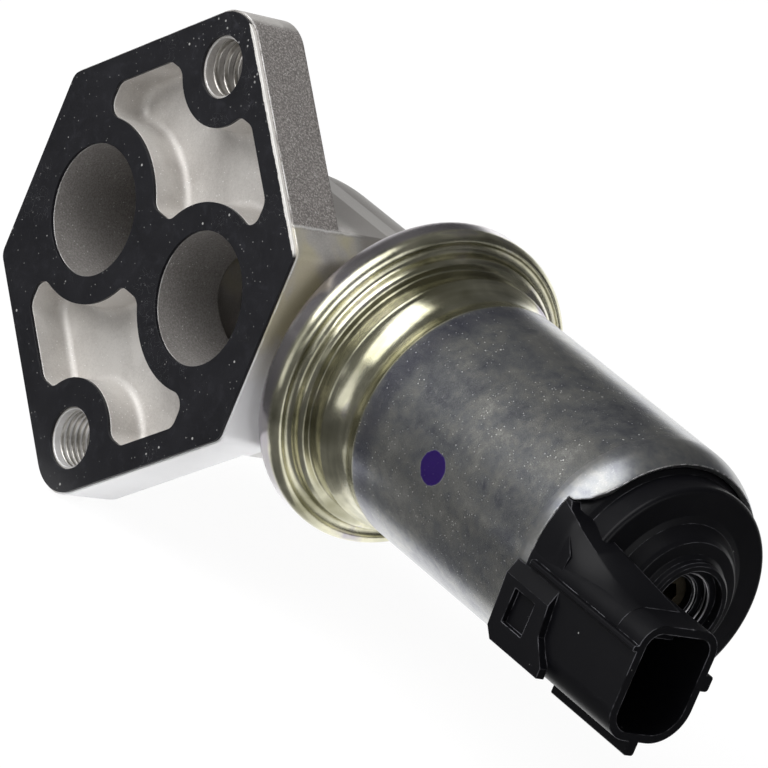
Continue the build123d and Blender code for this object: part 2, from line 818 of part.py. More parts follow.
# Valve shaft, from the retaining ring behind the poppet to the balance spring
ring_start = poppet_back - retaining_ring_thickness
groove_radius_on_shaft = shaft_end_radius - 0.3
turned_solid(
    "valve_shaft",
    [
        (ring_start - retaining_ring_gap, 0),
        (ring_start - retaining_ring_gap, shaft_end_radius),
        (ring_start, shaft_end_radius),
        (ring_start, groove_radius_on_shaft),
        (poppet_back, groove_radius_on_shaft),
        (poppet_back, shaft_end_radius),
        (poppet_face, shaft_end_radius),
        (poppet_face, shaft_radius),
        (shaft_end, shaft_radius),
        (shaft_end, 0),
    ],
)
turned_solid(
    "valve_poppet",
    [
        (poppet_back, shaft_end_radius + shaft_press_fit),
        (poppet_back, poppet_hub_radius - 0.5),
        (poppet_back + 0.5, poppet_hub_radius),
        (poppet_face - poppet_disc_thickness, poppet_hub_radius),
        (poppet_face - poppet_disc_thickness, poppet_radius - 0.5),
        (poppet_face - poppet_disc_thickness + 0.5, poppet_radius),
        (poppet_face - seal_thickness, poppet_radius),
        (poppet_face - seal_thickness, poppet_hub_radius),
        (poppet_face, poppet_hub_radius - 0.4),
        (poppet_face, shaft_end_radius + shaft_press_fit),
    ],
)
turned_ring("valve_seal", poppet_face - seal_thickness, poppet_face, poppet_hub_radius + 0.05, poppet_radius)
with BuildPart() as clip:
    with BuildSketch(across(ring_start)):
        Circle(retaining_ring_radius)
        Circle(groove_radius_on_shaft + shaft_press_fit, mode=Mode.SUBTRACT)
        with Locations((retaining_ring_radius / 2 + 0.5, 0)):
            Rectangle(retaining_ring_radius + 1, 1.8, mode=Mode.SUBTRACT)
    extrude(amount=retaining_ring_thickness)
save(clip, "retaining_ring")
turned_solid(
    "valve_seat",
    [
        (seat_face, seat_bore_radius),
        (seat_face, seat_bore_radius + seat_lip_width),
        (web_start, seat_bore_radius + seat_lip_width + 0.4),
        (web_start, seat_outer_radius),
        (web_end, seat_outer_radius),
        (web_end, seat_bore_radius + 1.0),
        (web_end - 1.0, seat_bore_radius),
    ],
)


def coil_spring(name, start, end, radius, wire, turns):
    """A round-wire compression spring between two places on the axis."""
    rise = end - start - 2 * wire
    with BuildPart() as spring:
        with BuildLine():
            coil = Helix(
                pitch=rise / turns,
                height=rise,
                radius=radius,
                center=(start + wire, axis_distance, 0),
                direction=(1, 0, 0),
            )
        with BuildSketch(Plane(origin=coil @ 0, z_dir=coil % 0)):
            Circle(wire)
        sweep(is_frenet=True)
    save(spring, name)


coil_spring(
    "return_spring",
    plug_inner + spring_end_gap,
    poppet_face - poppet_disc_thickness - spring_end_gap,
    return_spring_radius,
    return_wire_radius,
    return_turns,
)
coil_spring(
    "balance_spring",
    shaft_end + spring_end_gap,
    screw_start - spring_end_gap,
    balance_spring_radius,
    balance_wire_radius,
    balance_turns,
)

# Adjusting screw in the well of the cap
with BuildPart() as screw:
    with BuildSketch(across(screw_start)):
        Circle(screw_radius)
    extrude(amount=screw_length)
    with BuildSketch(across(screw_start + screw_length)):
        RegularPolygon(screw_key_radius, 6)
    extrude(amount=-screw_key_depth, mode=Mode.SUBTRACT)
save(screw, "adjusting_screw")

# Plug that closes the tail of the casting and seats the return spring
turned_solid(
    "bore_plug",
    [
        (tail_end, plug_recess_radius),
        (tail_end, plug_radius),
        (plug_inner, plug_radius),
        (plug_inner, plug_spigot_radius),
        (plug_inner + plug_spigot_length - 0.5, plug_spigot_radius),
        (plug_inner + plug_spigot_length, plug_spigot_radius - 0.5),
        (plug_inner + plug_spigot_length, 0),
        (tail_end + plug_recess_depth, 0),
        (tail_end + plug_recess_depth, plug_recess_radius),
    ],
)


def round_seal(name, x, radius, section):
    """An O-ring on the solenoid axis."""
    with BuildPart() as seal:
        with BuildSketch(bench):
            with Locations((x, radius)):
                Circle(section)
        revolve(axis=solenoid_axis)
    save(seal, name)


round_seal("body_seal", disc_front + body_seal_radius + 0.05, spigot_radius + body_seal_radius + 0.1, body_seal_radius)
round_seal("cap_seal", groove_mid, can_inner_radius - cap_seal_radius - 0.05, cap_seal_radius)
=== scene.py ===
"""Finishes, small shaped details and a plain studio for the idle air control valve."""

from math import asin, cos, hypot, pi, radians, sin

import bpy
from bpy.props import FloatProperty, FloatVectorProperty, IntProperty, PointerProperty
from mathutils import Euler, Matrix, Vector


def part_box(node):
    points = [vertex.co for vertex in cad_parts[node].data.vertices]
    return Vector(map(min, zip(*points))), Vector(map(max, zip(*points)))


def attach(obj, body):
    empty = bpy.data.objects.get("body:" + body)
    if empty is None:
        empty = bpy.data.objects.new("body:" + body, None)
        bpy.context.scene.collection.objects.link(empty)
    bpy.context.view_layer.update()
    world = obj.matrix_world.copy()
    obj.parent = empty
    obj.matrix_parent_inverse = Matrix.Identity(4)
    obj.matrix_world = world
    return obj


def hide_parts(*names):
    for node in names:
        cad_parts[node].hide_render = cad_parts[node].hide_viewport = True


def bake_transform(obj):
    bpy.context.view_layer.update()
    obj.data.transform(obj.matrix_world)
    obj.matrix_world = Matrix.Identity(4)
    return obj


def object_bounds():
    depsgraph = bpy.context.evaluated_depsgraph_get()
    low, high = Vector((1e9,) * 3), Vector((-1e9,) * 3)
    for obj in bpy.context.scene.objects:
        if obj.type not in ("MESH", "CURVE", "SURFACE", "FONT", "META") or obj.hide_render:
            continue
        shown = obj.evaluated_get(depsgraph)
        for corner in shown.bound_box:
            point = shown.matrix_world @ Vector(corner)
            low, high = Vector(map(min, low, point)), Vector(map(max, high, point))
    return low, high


bl_info = {
    "name": "Idle air control valve",
    "version": (1, 0, 0),
    "blender": (4, 5, 0),
    "location": "3D View > Sidebar > Air valve",
    "description": "Finishes, thread ridges and studio for a solenoid air valve",
    "category": "Object",
}

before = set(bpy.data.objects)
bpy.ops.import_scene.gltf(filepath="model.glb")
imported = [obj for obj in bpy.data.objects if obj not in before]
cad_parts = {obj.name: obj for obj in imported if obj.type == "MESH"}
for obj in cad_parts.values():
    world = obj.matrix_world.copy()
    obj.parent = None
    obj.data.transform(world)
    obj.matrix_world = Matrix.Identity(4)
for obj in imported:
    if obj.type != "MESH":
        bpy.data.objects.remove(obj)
cad_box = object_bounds()

HOUSING = "housing"
MM = 0.001

# The next lengths are in millimetres. The sealing face is at y 0, and the solenoid's axis runs along x.
AXIS_Y = 26.0
# The flange has two straight sides at x plus or minus FLANGE_HALF. Its four other sides follow
# |z| + FLANGE_SLANT * |x| = FLANGE_REACH.
FLANGE_HALF = 30.55
FLANGE_SLANT = 0.8396
FLANGE_REACH = 40.6
# Middles of the two ports and of the two bolt holes, to both sides of the flange's middle.
PORT_X = 14.65
BOLT_Z = 30.0
# Outside of the gusset round the solenoid's axis, just over the neck of the cap.
WEB_RADIUS = 19.26


def rgb(text):
    """A linear colour from the six hex digits of the colour on a screen."""
    parts = [int(text[i : i + 2], 16) / 255 for i in (0, 2, 4)]
    return tuple(p / 12.92 if p <= 0.04045 else ((p + 0.055) / 1.055) ** 2.4 for p in parts)


class Signal:
    """One shader socket. Arithmetic on it adds Math nodes to its wiring."""

    def __init__(self, wiring, socket):
        self.wiring = wiring
        self.socket = socket

    def __add__(self, other):
        return self.wiring.math("ADD", self, other)

    def __radd__(self, other):
        return self.wiring.math("ADD", other, self)

    def __sub__(self, other):
        return self.wiring.math("SUBTRACT", self, other)

    def __rsub__(self, other):
        return self.wiring.math("SUBTRACT", other, self)

    def __mul__(self, other):
        return self.wiring.math("MULTIPLY", self, other)

    def __rmul__(self, other):
        return self.wiring.math("MULTIPLY", other, self)

    def __truediv__(self, other):
        return self.wiring.math("DIVIDE", self, other)

    def __abs__(self):
        return self.wiring.math("ABSOLUTE", self)


class Wiring:
    """The nodes of one material, or of the world."""

    def __init__(self, tree):
        self.tree = tree
        self.tree.nodes.clear()

    def node(self, kind, settings=None, sockets=None):
        """Any node, from its type, its settings and the values or links of its sockets."""
        made = self.tree.nodes.new(kind)
        for name, value in (settings or {}).items():
            if name == "stops":
                self.set_stops(made.color_ramp, value)
            else:
                setattr(made, name, value)
        for name, value in (sockets or {}).items():
            if isinstance(value, Signal):
                self.tree.links.new(value.socket, made.inputs[name])
            else:
                made.inputs[name].default_value = value
        return made

    @staticmethod
    def set_stops(ramp, stops):
        """Places and colours of a ramp's stops."""
        while len(ramp.elements) < len(stops):
            ramp.elements.new(0.5)
        for element, (place, colour) in zip(ramp.elements, stops):
            element.position = place
            element.color = (*colour, 1)

    def take(self, output, kind, settings=None, sockets=None):
        """One output of a new node, for use in an expression."""
        return Signal(self, self.node(kind, settings, sockets).outputs[output])

    def math(self, operation, *values):
        """A Math node on sockets and numbers."""
        return self.take(0, "ShaderNodeMath", {"operation": operation}, dict(enumerate(values)))

    def shows_background(self):
        """1 for the rays by which the camera, a reflection or a clear piece sees the background."""
        rays = self.node("ShaderNodeLightPath")
        camera, glossy, clear = (
            Signal(self, rays.outputs[name])
            for name in ("Is Camera Ray", "Is Glossy Ray", "Is Transmission Ray")
        )
        return self.math("MAXIMUM", self.math("MAXIMUM", camera, glossy), clear)

    def blend(self, factor, first, second):
        """The first shader at a factor of 0, the second at 1."""
        return self.take(0, "ShaderNodeMixShader", {}, {0: factor, 1: first, 2: second})


class Finish(Wiring):
    """A material whose patterns are laid out in millimetres on the object."""

    def __init__(self, name):
        self.material = bpy.data.materials.new(name)
        self.material.use_nodes = True
        super().__init__(self.material.node_tree)
        where = self.take("Object", "ShaderNodeTexCoord")
        sockets = {0: where, "Scale": 1 / MM}
        self.place = self.take("Vector", "ShaderNodeVectorMath", {"operation": "SCALE"}, sockets)
        split = self.node("ShaderNodeSeparateXYZ", {}, {"Vector": self.place})
        self.x, self.y, self.z = (Signal(self, split.outputs[axis]) for axis in "XYZ")

    def ramp(self, value, *stops):
        """A colour that runs through the stops as the value rises."""
        return self.take("Color", "ShaderNodeValToRGB", {"stops": stops}, {"Fac": value})

    def mix(self, factor, first, second):
        """The first colour at a factor of 0, the second at 1."""
        first, second = (c if isinstance(c, Signal) else (*c, 1) for c in (first, second))
        return self.take(2, "ShaderNodeMix", {"data_type": "RGBA"}, {0: factor, 6: first, 7: second})

    def rise(self, value, low, high):
        """0 below low, 1 above high, and a smooth rise between."""
        settings = {"interpolation_type": "SMOOTHSTEP"}
        sockets = {"Value": value, "From Min": low, "From Max": high}
        return self.take("Result", "ShaderNodeMapRange", settings, sockets)

    def between(self, value, low, high, soft):
        """1 from low to high, with a soft step at both."""
        above = self.rise(value, low - soft, low + soft)
        return above * (1 - self.rise(value, high - soft, high + soft))

    def stretched(self, turn, scale):
        """The place, turned and then scaled, for patterns that run one way."""
        sockets = {"Vector": self.place, "Rotation": turn, "Scale": scale}
        return self.take("Vector", "ShaderNodeMapping", {}, sockets)

    def noise(self, per_mm, detail=3.0, roughness=0.55, distortion=0.0, place=None):
        """Cloudy noise from 0 to 1, with so many cells in a millimetre."""
        sockets = {
            "Vector": place or self.place,
            "Scale": per_mm,
            "Detail": detail,
            "Roughness": roughness,
            "Distortion": distortion,
        }
        return self.take("Fac", "ShaderNodeTexNoise", {"normalize": True}, sockets)

    def specks(self, per_mm, size, share):
        """Small round spots: one cell in a share of them holds a spot."""
        sockets = {"Vector": self.place, "Scale": per_mm, "Randomness": 1.0}
        cells = self.node("ShaderNodeTexVoronoi", {"feature": "F1"}, sockets)
        parts = self.node("ShaderNodeSeparateColor", {}, {"Color": Signal(self, cells.outputs["Color"])})
        picked = self.rise(Signal(self, parts.outputs["Red"]), 1 - share, 1 - share + 0.02)
        width = Signal(self, parts.outputs["Green"]) * size * 0.7 + size * 0.3
        near = 1 - self.rise(Signal(self, cells.outputs["Distance"]) / width, 0.6, 1.0)
        return near * picked

    def scratches(self, turn, per_mm, width, share):
        """Fine lines where a stretched noise crosses its middle, in a few patches."""
        waves = self.noise(1.0, 1.0, 0.5, 0.3, self.stretched(turn, (per_mm, per_mm * 0.06, per_mm)))
        line = 1 - self.rise(abs(waves - 0.5), 0, width)
        spread = self.noise(0.11, 2.0, 0.5, 0.0, self.stretched(turn, (1, 0.7, 1)))
        return line * self.rise(spread, 1 - share, 1.05 - share)

    def bump(self, height, depth_mm, normal=None):
        """A normal that follows a height, on top of the given one."""
        sockets = {"Height": height, "Distance": depth_mm * MM, "Strength": 1.0}
        if normal is not None:
            sockets["Normal"] = normal
        return self.take("Normal", "ShaderNodeBump", {}, sockets)

    def soft_edges(self, radius_mm):
        """The surface normal with its sharp edges rounded off."""
        return self.take("Normal", "ShaderNodeBevel", {"samples": 6}, {"Radius": radius_mm * MM})

    def edges(self, rounded):
        """Near 1 on sharp edges, where the rounded normal leaves the true one."""
        true = self.take("Normal", "ShaderNodeNewGeometry")
        sockets = {0: rounded, 1: true}
        dot = self.take("Value", "ShaderNodeVectorMath", {"operation": "DOT_PRODUCT"}, sockets)
        return self.rise(1 - dot, 0.01, 0.12)

    def around_axis(self):
        """Distance from the solenoid axis in millimetres."""
        off = self.y - AXIS_Y
        return self.math("SQRT", off * off + self.z * self.z)

    def done(self, **sockets):
        """The closing shader. Names are the shader's sockets, with _ for a space."""
        named = {name.replace("_", " "): value for name, value in sockets.items()}
        return self.end(self.take("BSDF", "ShaderNodeBsdfPrincipled", {}, named))

    def end(self, shader):
        """Close the material with this shader."""
        self.node("ShaderNodeOutputMaterial", {}, {"Surface": shader})
        return self.material


def tint(name, description, text):
    """A colour that a user can change, from six hex digits."""
    return FloatVectorProperty(
        name=name, description=description, subtype="COLOR", default=rgb(text), min=0, max=1,
    )


def distance(name, description, millimetres):
    """A length that a user can change."""
    return FloatProperty(
        name=name, description=description, default=millimetres * MM, subtype="DISTANCE", unit="LENGTH",
    )


class FinishSettings(bpy.types.PropertyGroup):
    cast_light: tint("Casting light", "Pale grains of the cast alloy", "cbc8c4")
    cast_dark: tint("Casting dark", "Dark grains of the cast alloy", "a6a29e")
    coat_black: tint("Coating", "Black coat on the sealing face", "111114")
    can_grey: tint("Can", "Dull plated side of the can", "888a8c")
    can_shade: tint("Can shade", "Darker patches on the side of the can", "6a6c75")
    zinc_cream: tint("Zinc cream", "Palest tone of the yellow plating", "d3d0b8")
    zinc_olive: tint("Zinc olive", "Deepest tone of the yellow plating", "8f8d76")
    ink: tint("Ink dot", "Inspection dot on the can", "1c0448")
    moulding: tint("Moulding", "Black plastic of the cap and connector", "0a0a0d")
    ink_radius: FloatProperty(
        name="Ink dot radius", description="Half the height of the ink dot in millimetres",
        default=2.5, min=0.5, max=5,
    )


class DetailSettings(bpy.types.PropertyGroup):
    bolt_radius: distance("Bolt hole radius", "Radius the ridges stand on", 4.25)
    bolt_spacing: distance("Bolt spacing", "Distance between the two bolt holes", 2 * BOLT_Z)
    ridge_height: distance("Ridge height", "How far the ridges stand into the hole", 0.32)
    upper_pitch: distance("Upper pitch", "Pitch of the ridges in the upper hole", 1.85)
    lower_pitch: distance("Lower pitch", "Pitch of the ridges in the lower hole", 1.0)
    turn_steps: IntProperty(
        name="Steps a turn", description="Facets in one turn of a ridge", default=72, min=16, max=256,
    )


class StudioSettings(bpy.types.PropertyGroup):
    camera_place: FloatVectorProperty(
        name="Camera place", description="Where the camera stands", subtype="TRANSLATION", unit="LENGTH",
        default=(0.84930671, -0.71535237, 0.31214612),
    )
    camera_turn: FloatVectorProperty(
        name="Camera turn", description="Camera rotation as XYZ angles", subtype="EULER",
        default=(radians(72.81420974), radians(-21.93605233), radians(54.47017772)),
    )
    lens: FloatProperty(name="Lens", description="Focal length in millimetres", default=375.0)
    floor_size: FloatProperty(
        name="Floor size", description="Side of the floor", default=12.0, subtype="DISTANCE", unit="LENGTH",
    )
    floor_colour: FloatVectorProperty(
        name="Floor colour", description="Pale colour of the floor", subtype="COLOR",
        default=(0.86, 0.86, 0.86), min=0, max=1,
    )
    sky: FloatProperty(
        name="Sky light", description="Strength of the even light all round", default=0.36, min=0,
    )


def cast_alloy(settings):
    """Die-cast aluminium: gritty on the upper side of the flange and in the ports, smooth elsewhere. Its
    colour also holds painted light: a painted glow from the floor on the lower sides and underside, a
    painted pool of light on the pocket floors, painted shade in the ports and on the barrel's top, a
    painted reflection of the yellow rings on the neck, and painted highlights on the worn face edges and
    along the seam.
    """
    f = Finish("cast_alloy")
    past_slant = (abs(f.z) + abs(f.x) * FLANGE_SLANT - FLANGE_REACH) / hypot(1, FLANGE_SLANT)
    past_side = f.math("MAXIMUM", abs(f.x) - FLANGE_HALF, past_slant)
    on_flange = 1 - f.rise(f.y, 9.3, 9.9)
    side = f.rise(past_side, -1.2, -0.5) * on_flange
    upper = f.rise(f.z, 17.3, 18.1)
    lower = 1 - f.rise(f.z, -8.0, 4.0)
    gritty = side * upper
    from_port = abs(f.x) - PORT_X
    port = 1 - f.rise(f.math("SQRT", from_port * from_port + f.z * f.z), 9.95, 10.1)
    port = port * (1 - f.rise(f.y, 30.0, 32.0))
    from_bolt = abs(f.z) - BOLT_Z
    bolt = 1 - f.rise(f.math("SQRT", from_bolt * from_bolt + f.x * f.x), 4.3, 4.4)
    pocket = (1 - f.rise(f.y, 6.4, 6.9)) * (1 - port) * (1 - side) * (1 - bolt)
    coarse = f.noise(3.4, 4.0, 0.62)
    fine = f.noise(8.0, 3.0, 0.6)
    cloud = f.noise(0.10, 3.0, 0.5, 0.4)
    grain = f.rise(coarse, 0.36, 0.66)
    tone = cloud * 0.6 + coarse * 0.25 + fine * 0.15
    colour = f.ramp(tone, (0.36, settings.cast_dark), (0.60, settings.cast_light))
    grit = f.ramp(grain, (0.0, rgb("6f6b69")), (0.55, rgb("8f8a87")), (1.0, rgb("b5b0ad")))
    colour = f.mix(gritty * 0.9, colour, grit)
    # Painted light: the lower sides of the flange are painted near white, in place of the light that the
    # pale floor throws up on them.
    colour = f.mix(side * lower * 0.95, colour, rgb("f6f6f8"))
    # Painted shade: the port walls get a darker grey than the casting, in place of the shade deep in the
    # ports. The grain in it is the alloy's own.
    bore = f.ramp(grain * 0.5 + fine * 0.5, (0.2, rgb("837f7c")), (0.75, rgb("a5a19e")))
    colour = f.mix(port * 0.85, colour, bore)
    # Painted light: the pocket floors are painted paler than the casting, a painted pool of the front light
    # on them.
    colour = f.mix(pocket * 0.75, colour, f.ramp(tone, (0.36, rgb("b9b5b1")), (0.60, rgb("d9d6d2"))))
    # Painted light: the underside is painted near white, a painted glow from the pale floor below.
    floor_lit_underside = (1 - f.rise(f.z, -20.0, -11.0)) * (1 - f.rise(f.y, 24.0, 34.0))
    colour = f.mix(floor_lit_underside * (1 - pocket) * 0.6, colour, rgb("f0f0f1"))
    outer = side + (1 - on_flange)
    # Painted reflection: yellowish patches on the neck and the flange sides stand in for the yellow rings
    # reflected in the alloy.
    yellow = f.rise(cloud, 0.40, 0.56) * outer * (1 - f.rise(f.y, 14.0, 24.0))
    yellow = yellow * (1 - upper) * (1 - lower) * (1 - port)
    colour = f.mix(yellow * 0.6, colour, rgb("c2ba94"))
    wander = f.noise(0.3, 3.0, 0.6) * 0.6
    seam = f.between(f.z + wander, 18.0, 18.2, 0.12) * outer
    seam = seam * f.rise(f.x, 10.0, 12.0) * (1 - f.rise(f.y, 12.0, 14.0))
    # Painted highlight: the raised parting-line seam is painted whiter, a painted highlight along its
    # ridge.
    colour = f.mix(seam * 0.45, colour, rgb("ffffff"))
    # Painted shade: the top of the barrel behind the flange is painted darker, in place of the flange's
    # shadow.
    shaded_crown = f.rise(f.z, 10.0, 16.0) * f.rise(f.y, 11.0, 14.0)
    colour = f.mix(shaded_crown * 0.75, colour, rgb("86827e"))
    rounded = f.soft_edges(0.35)
    at_face = 1 - f.rise(f.y, 0.8, 1.6)
    # Edges near the sealing face are painted white: partly wear, partly painted highlight on the edges.
    worn_edge_glint = f.edges(rounded) * at_face * f.rise(f.noise(0.25, 3.0, 0.6), 0.38, 0.55)
    colour = f.mix(worn_edge_glint * 0.7, colour, rgb("ffffff"))
    glints = f.specks(2.4, 0.32, 0.26)
    colour = f.mix(glints * (pocket * 0.6 + port * 0.5 + gritty * 0.35 + 0.06), colour, rgb("ffffff"))
    height = coarse * (gritty + port * 0.8 + pocket * 0.42 + 0.10)
    height = height + fine * (gritty * 0.4 + port * 0.4 + 0.16)
    height = height + glints * (pocket * 0.4 + port * 0.3) + seam * 1.5
    normal = f.bump(height, 0.08, rounded)
    rough = 0.40 + 0.10 * cloud + 0.14 * gritty + 0.14 * port + 0.08 * pocket + 0.06 * fine
    return f.done(Base_Color=colour, Metallic=0.55, Roughness=rough, Normal=normal)


def black_coating(settings):
    """Glossy black coat with dust, a few scratches and one worn wavy edge."""
    f = Finish("black_coating")
    reach = (f.z + f.x * FLANGE_SLANT - FLANGE_REACH) / hypot(1, FLANGE_SLANT)
    waver = f.noise(0.5, 4.0, 0.65)
    worn = f.rise(reach + waver * 0.7, -0.52, -0.40) * f.rise(f.x, -1.5, 1.0) * f.rise(f.z, 14.0, 15.0)
    dust = f.specks(0.5, 0.12, 0.5)
    fine_dust = f.specks(1.7, 0.2, 0.34)
    apex = f.rise(f.z, 23.0, 34.0)
    scuffs = f.specks(1.1, 0.26, 0.5) * apex
    marks = f.math("MINIMUM", dust + fine_dust * 0.6 + scuffs * 0.8, 1.0)
    lines = f.scratches((0.4, 1.1, 0.5), 0.9, 0.006, 0.4)
    cloud = f.noise(0.16, 3.0, 0.55)
    smudge = f.rise(f.noise(0.5, 4.0, 0.7, 0.5), 0.5, 0.75)
    colour = f.mix(cloud * 0.5 + smudge * (0.4 + apex * 0.5), settings.coat_black, rgb("2b2b30"))
    colour = f.mix(marks * 0.75, colour, rgb("a4a4a2"))
    colour = f.mix(lines * 0.4, colour, rgb("77777a"))
    colour = f.mix(worn, colour, rgb("f0eeea"))
    rough = 0.26 + 0.16 * cloud + 0.3 * marks + 0.1 * worn
    height = f.noise(3.0, 3.0, 0.6) * 0.25 + marks * 0.5 - lines * 0.5 - worn * 0.8
    return f.done(
        Base_Color=colour,
        Metallic=worn * 0.5,
        Roughness=rough,
        Specular_IOR_Level=0.26,
        Normal=f.bump(height, 0.03, f.soft_edges(0.15)),
    )


def plated_steel(settings):
    """Zinc plating: yellow and glossy on the rolled rings, dull and dusty along the can. Its colour also
    holds painted shade in a band past the bead and on the shoulder, and painted glints on sharp edges.
    """
    f = Finish("plated_steel")
    rounded = f.soft_edges(0.4)
    rolled = f.mix(1 - f.rise(f.x, 36.8, 37.3), rounded, f.soft_edges(1.3))
    dull = f.rise(f.x, 48.6, 49.6)
    shoulder_shade = f.rise(f.x, 88.6, 90.2)
    rim = 1 - f.rise(f.x, 35.2, 36.3)
    around = f.around_axis()
    streak = f.noise(1.0, 2.0, 0.5, 0.0, f.stretched((0, 0, 0), (0.8, 0.05, 0.05)))
    patch = f.noise(0.10, 3.0, 0.5, 0.4)
    plating = f.ramp(
        streak * 0.25 + patch * 0.75,
        (0.34, settings.zinc_olive),
        (0.46, rgb("b3b19c")),
        (0.56, settings.zinc_cream),
        (0.68, rgb("aca7b0")),
    )
    plating = f.mix(rim * 0.85, plating, rgb("aea9b0"))
    cloud = f.noise(0.09, 3.0, 0.55, 0.5)
    mottle = f.noise(0.55, 5.0, 0.7)
    tone = cloud * 0.55 + mottle * 0.45
    side = f.ramp(
        tone,
        (0.36, settings.can_shade),
        (0.48, settings.can_grey),
        (0.56, rgb("989895")),
        (0.66, rgb("adada9")),
    )
    # Painted shade: a darker band on the can just past the bead, in place of the dim reflection there.
    shaded_collar = f.between(f.x, 49.6, 53.0, 1.2)
    side = f.mix(shaded_collar * (0.35 + 0.5 * cloud), side, rgb("5f606e"))
    dust = f.specks(0.8, 0.14, 0.4)
    fine_dust = f.specks(2.6, 0.30, 0.22)
    band = f.rise(f.noise(0.07, 2.0, 0.5), 0.38, 0.56)
    marks = f.math("MINIMUM", (dust + fine_dust * 0.8) * (band * 0.85 + 0.15), 1.0)
    lines = f.scratches((0.3, 0.2, 0.9), 1.4, 0.010, 0.5)
    lines = lines + f.scratches((1.2, 0.5, -0.7), 1.1, 0.008, 0.45)
    smear = f.noise(0.9, 4.0, 0.75, 0.6, f.stretched((0.2, 0.5, 0.3), (0.3, 1.0, 0.5)))
    side = f.mix(f.rise(smear, 0.52, 0.74) * band * 0.3, side, rgb("b4b4ae"))
    side = f.mix(marks * 0.42, side, rgb("d6d6d2"))
    side = f.mix(f.math("MINIMUM", lines, 1.0) * 0.45, side, rgb("cfcfca"))
    # Painted shade: the shoulder at the can's end is painted darker, to damp the broad reflection of the
    # key lamp there.
    side = f.mix(shoulder_shade * 0.35, side, rgb("6a6b6e"))
    colour = f.mix(dull, plating, side)
    dot_x = f.x - 66.7
    dot_z = f.z - 0.2
    wander = f.noise(0.8, 2.0, 0.5) * 0.6 - 0.3
    reach = f.math("SQRT", dot_x * dot_x * 0.85 + dot_z * dot_z) + wander
    front = 1 - f.rise(f.y, 18.0, 20.0)
    dot = (1 - f.rise(reach, settings.ink_radius - 0.15, settings.ink_radius + 0.1)) * front
    colour = f.mix(dot, colour, settings.ink)
    # Sharp edges of the can are painted white: partly wear, partly painted glints along the notch and rims.
    bright = f.edges(rounded) * dull * f.rise(f.noise(0.8, 3.0, 0.6), 0.42, 0.55)
    colour = f.mix(bright * 0.8, colour, rgb("ffffff"))
    crease = f.between(around, 18.5, 18.9, 0.25) * (1 - dull)
    height = mottle * 0.14 + f.noise(5.0, 2.0, 0.6) * (0.10 + 0.5 * crease)
    height = height + marks * 0.5 * dull + dot * 0.6
    rough = 0.16 + 0.05 * streak + dull * (0.01 + 0.05 * cloud + 0.04 * mottle)
    rough = rough + marks * 0.25 * dull + shoulder_shade * 0.07
    metal = (1 - dot) * (1 - marks * 0.35 * dull - 0.10 * dull)
    normal = f.bump(height, 0.025, rolled)
    return f.done(Base_Color=colour, Metallic=metal, Roughness=rough - 0.06 * dot, Normal=normal)


def black_moulding(settings):
    """Glass-filled black plastic with faint flow marks, a little dust, and edges painted paler, partly wear
    and partly painted highlight.
    """
    f = Finish("black_moulding")
    rounded = f.soft_edges(0.22)
    worn_edge_glint = f.edges(rounded) * f.rise(f.noise(0.3, 3.0, 0.6), 0.42, 0.60)
    cloud = f.noise(0.14, 4.0, 0.6, 0.5)
    flow = f.noise(1.0, 3.0, 0.6, 0.4, f.stretched((0, 0, 0), (0.12, 0.9, 0.9)))
    dust = f.specks(0.6, 0.11, 0.16)
    scuff = f.scratches((0.2, 0.9, 0.3), 0.8, 0.006, 0.3)
    colour = f.mix(cloud * 0.7, settings.moulding, rgb("111114"))
    # Edges painted paler: partly wear, partly painted highlight in place of glints on the edges.
    colour = f.mix(worn_edge_glint * 0.6, colour, rgb("85858b"))
    colour = f.mix(dust * 0.7, colour, rgb("9a9a98"))
    colour = f.mix(scuff * 0.25, colour, rgb("55555a"))
    rough = 0.24 + 0.16 * cloud + 0.06 * flow
    height = f.noise(4.5, 3.0, 0.6) * 0.25 + flow * 0.25 + dust * 0.4
    return f.done(
        Base_Color=colour,
        Metallic=0.0,
        Roughness=rough,
        Specular_IOR_Level=0.11,
        Normal=f.bump(height, 0.025, rounded),
    )


def turned_metal(name, pale, dark, roughness, line_depth=0.02, lines_per_mm=5.0):
    """A turned metal piece: fine rings along the axis, cloudy colour, and edges painted paler, partly wear
    and partly painted glint.
    """
    f = Finish(name)
    rings = f.noise(1.0, 2.0, 0.5, 0.0, f.stretched((0, 0, 0), (lines_per_mm, 0.03, 0.03)))
    cloud = f.noise(0.35, 3.0, 0.6, 0.3)
    grain = f.noise(3.5, 3.0, 0.6)
    rounded = f.soft_edges(0.15)
    colour = f.ramp(cloud * 0.6 + rings * 0.4, (0.35, dark), (0.62, pale))
    # Edges painted paler: partly wear, partly painted glint on the edges.
    colour = f.mix(f.edges(rounded) * 0.4, colour, tuple(min(1.0, 1.35 * part) for part in pale))
    rough = roughness + 0.14 * cloud + 0.06 * grain
    return f.done(
        Base_Color=colour,
        Metallic=1.0,
        Roughness=rough,
        Normal=f.bump(rings * 0.7 + grain * 0.3, line_depth, rounded),
    )


def wound_copper():
    """Enamelled wire in close turns, seen as fine grooves round the coil."""
    f = Finish("enamelled_copper")
    settings = {"wave_type": "BANDS", "bands_direction": "X"}
    sockets = {"Vector": f.place, "Scale": 0.62, "Distortion": 0.15, "Detail": 1.0}
    turns = f.take("Fac", "ShaderNodeTexWave", settings, sockets)
    cloud = f.noise(0.3, 3.0, 0.6)
    colour = f.ramp(turns * 0.6 + cloud * 0.4, (0.2, rgb("5c2a14")), (0.8, rgb("b0643a")))
    return f.done(
        Base_Color=colour, Metallic=0.85, Roughness=0.28 + 0.15 * cloud, Coat_Weight=0.4,
        Normal=f.bump(turns, 0.12),
    )


